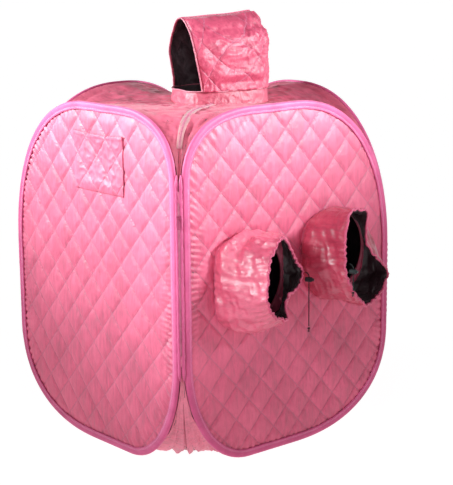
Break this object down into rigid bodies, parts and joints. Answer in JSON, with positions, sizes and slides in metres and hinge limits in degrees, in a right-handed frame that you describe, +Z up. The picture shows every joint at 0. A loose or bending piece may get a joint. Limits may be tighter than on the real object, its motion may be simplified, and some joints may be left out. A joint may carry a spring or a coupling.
{
  "type": "portable steam sauna",
  "caption": "Pop-up steam sauna cabin: quilted satin walls on spring hoops, hood with a face opening, drawstring arm sleeves, zip entry at one corner.",
  "frame": {"origin": "middle of the floor mat's underside, on the ground", "axes": "+Z up; -Y out of the wall with the two arm sleeves; -X out of the wall with the pocket"},
  "size_m": [0.8222, 1.0515, 1.2106],
  "materials": {
    "front_binding": "woven polyester binding over the hoop",
    "front_hoop": "spring wire",
    "front_ferrule": "crimped tube",
    "front_quilt": "quilted satin, dark lining inside",
    "front_roof_gore": "plain satin, dark lining inside",
    "front_floor_gore": "plain satin, dark lining inside",
    "right_binding": "woven polyester binding over the hoop",
    "right_hoop": "spring wire",
    "right_ferrule": "crimped tube",
    "right_quilt": "quilted satin, dark lining inside",
    "right_roof_gore": "plain satin, dark lining inside",
    "right_floor_gore": "plain satin, dark lining inside",
    "back_binding": "woven polyester binding over the hoop",
    "back_hoop": "spring wire",
    "back_ferrule": "crimped tube",
    "back_quilt": "quilted satin, dark lining inside",
    "back_roof_gore": "plain satin, dark lining inside",
    "back_floor_gore": "plain satin, dark lining inside",
    "left_binding": "woven polyester binding over the hoop",
    "left_hoop": "spring wire",
    "left_ferrule": "crimped tube",
    "left_quilt": "quilted satin, dark lining inside",
    "left_roof_gore": "plain satin, dark lining inside",
    "left_floor_gore": "plain satin, dark lining inside",
    "left_back_seam": "piped seam",
    "front_right_seam": "piped seam",
    "rear_corner_seam": "piped seam",
    "floor_mat": "dark nonwoven",
    "neck_collar": "satin band",
    "hood_shell": "padded satin, dark lining inside",
    "hood_face_binding": "piping",
    "left_sleeve": "padded satin, dark lining inside",
    "left_cuff_hem": "gathered hem with the cord inside",
    "left_drawcord": "braided cord",
    "left_cord_knot": "overhand knot",
    "left_cord_lock": "moulded barrel",
    "left_lock_button": "moulded button",
    "left_lock_spring": "coil",
    "right_sleeve": "padded satin, dark lining inside",
    "right_cuff_hem": "gathered hem with the cord inside",
    "right_drawcord": "braided cord",
    "right_cord_knot": "overhand knot",
    "right_cord_lock": "moulded barrel",
    "right_lock_button": "moulded button",
    "right_lock_spring": "coil",
    "pocket": "quilted satin patch",
    "steam_inlet_patch": "sewn patch",
    "steam_inlet_sleeve": "short gathered sleeve",
    "entry_zip_chain": "coil zip on tape",
    "roof_zip": "zip tape",
    "zip_slider": "plated casting",
    "zip_pull_pin": "pin",
    "zip_pull_tab": "plated tab"
  },
  "bodies": {
    "base": {"floor_mat": "floor_mat", "neck_collar": "neck_collar", "hood_shell": "hood_shell", "hood_face_binding": "hood_face_binding", "roof_zip": "roof_zip"},
    "entry_corner": {"entry_zip_chain": "entry_zip_chain"},
    "zip_slider": {"zip_slider": "zip_slider", "zip_pull_pin": "zip_pull_pin"},
    "zip_pull": {"zip_pull_tab": "zip_pull_tab"},
    "left_wall": {"left_binding": "left_binding", "left_hoop": "left_hoop", "left_ferrule": "left_ferrule", "left_quilt": "left_quilt", "left_roof_gore": "left_roof_gore", "left_floor_gore": "left_floor_gore", "pocket": "pocket", "left_back_seam": "left_back_seam"},
    "front_wall": {"front_binding": "front_binding", "front_hoop": "front_hoop", "front_ferrule": "front_ferrule", "front_quilt": "front_quilt", "front_roof_gore": "front_roof_gore", "front_floor_gore": "front_floor_gore", "front_right_seam": "front_right_seam", "left_sleeve": "left_sleeve", "left_cuff_hem": "left_cuff_hem", "left_drawcord": "left_drawcord", "left_cord_knot": "left_cord_knot", "right_sleeve": "right_sleeve", "right_cuff_hem": "right_cuff_hem", "right_drawcord": "right_drawcord", "right_cord_knot": "right_cord_knot"},
    "back_wall": {"back_binding": "back_binding", "back_hoop": "back_hoop", "back_ferrule": "back_ferrule", "back_quilt": "back_quilt", "back_roof_gore": "back_roof_gore", "back_floor_gore": "back_floor_gore", "steam_inlet_patch": "steam_inlet_patch", "steam_inlet_sleeve": "steam_inlet_sleeve"},
    "right_wall": {"right_binding": "right_binding", "right_hoop": "right_hoop", "right_ferrule": "right_ferrule", "right_quilt": "right_quilt", "right_roof_gore": "right_roof_gore", "right_floor_gore": "right_floor_gore"},
    "rear_corner": {"rear_corner_seam": "rear_corner_seam"},
    "left_lock": {"left_cord_lock": "left_cord_lock", "left_lock_spring": "left_lock_spring"},
    "left_button": {"left_lock_button": "left_lock_button"},
    "right_lock": {"right_cord_lock": "right_cord_lock", "right_lock_spring": "right_lock_spring"},
    "right_button": {"right_lock_button": "right_lock_button"}
  },
  "joints": [
    {"name": "fold", "type": "slide", "parent": "base", "child": "entry_corner", "axis": [0.7071, 0.7071, 0], "range_m": [0, 0.4878], "deforming": ["floor_mat", "neck_collar", "hood_shell", "hood_face_binding", "roof_zip", "front_roof_gore", "right_roof_gore", "back_roof_gore", "left_roof_gore", "front_floor_gore", "right_floor_gore", "back_floor_gore", "left_floor_gore"]},
    {"name": "left_wall_hinge", "type": "hinge", "parent": "entry_corner", "child": "left_wall", "pos_m": [-0.3934, -0.3934, 0.5], "axis": [0, 0, 1], "range_deg": [0, 40.1]},
    {"name": "front_wall_hinge", "type": "hinge", "parent": "entry_corner", "child": "front_wall", "pos_m": [-0.3934, -0.3934, 0.5], "axis": [0, 0, 1], "range_deg": [-40.1, 0]},
    {"name": "back_wall_hinge", "type": "hinge", "parent": "left_wall", "child": "back_wall", "pos_m": [-0.3934, 0.3934, 0.5], "axis": [0, 0, 1], "range_deg": [-80.1, 0]},
    {"name": "right_wall_hinge", "type": "hinge", "parent": "front_wall", "child": "right_wall", "pos_m": [0.3934, -0.3934, 0.5], "axis": [0, 0, 1], "range_deg": [0, 80.1]},
    {"name": "rear_corner_hinge", "type": "hinge", "parent": "back_wall", "child": "rear_corner", "pos_m": [0.3934, 0.3934, 0.5], "axis": [0, 0, 1], "range_deg": [0, 80.1]},
    {"name": "zip_slide", "type": "slide", "parent": "entry_corner", "child": "zip_slider", "axis": [0, 0, 1], "range_m": [-0.34, 0]},
    {"name": "zip_pull_hinge", "type": "hinge", "parent": "zip_slider", "child": "zip_pull", "pos_m": [-0.41277, -0.41277, 0.72], "axis": [-0.7071, 0.7071, 0], "range_deg": [0, 165]},
    {"name": "left_lock_slide", "type": "slide", "parent": "front_wall", "child": "left_lock", "axis": [0, 0, 1], "range_m": [-0.118, 0]},
    {"name": "left_lock_press", "type": "slide", "parent": "left_lock", "child": "left_button", "axis": [-0.4067, 0.9135, 0], "range_m": [0, 0.004], "stiffness_N_per_m": 300, "springref_m": -0.002, "deforming": ["left_lock_spring"]},
    {"name": "right_lock_slide", "type": "slide", "parent": "front_wall", "child": "right_lock", "axis": [0, 0, 1], "range_m": [-0.04, 0]},
    {"name": "right_lock_press", "type": "slide", "parent": "right_lock", "child": "right_button", "axis": [-0.2924, 0.9563, 0], "range_m": [0, 0.004], "stiffness_N_per_m": 300, "springref_m": -0.002, "deforming": ["right_lock_spring"]}
  ],
  "couplings": [
    {"joint": "left_wall_hinge", "follows": "fold", "rad_per_m": 1.4312},
    {"joint": "front_wall_hinge", "follows": "fold", "rad_per_m": -1.4312},
    {"joint": "back_wall_hinge", "follows": "fold", "rad_per_m": -2.8624},
    {"joint": "right_wall_hinge", "follows": "fold", "rad_per_m": 2.8624},
    {"joint": "rear_corner_hinge", "follows": "fold", "rad_per_m": 2.8624}
  ]
}
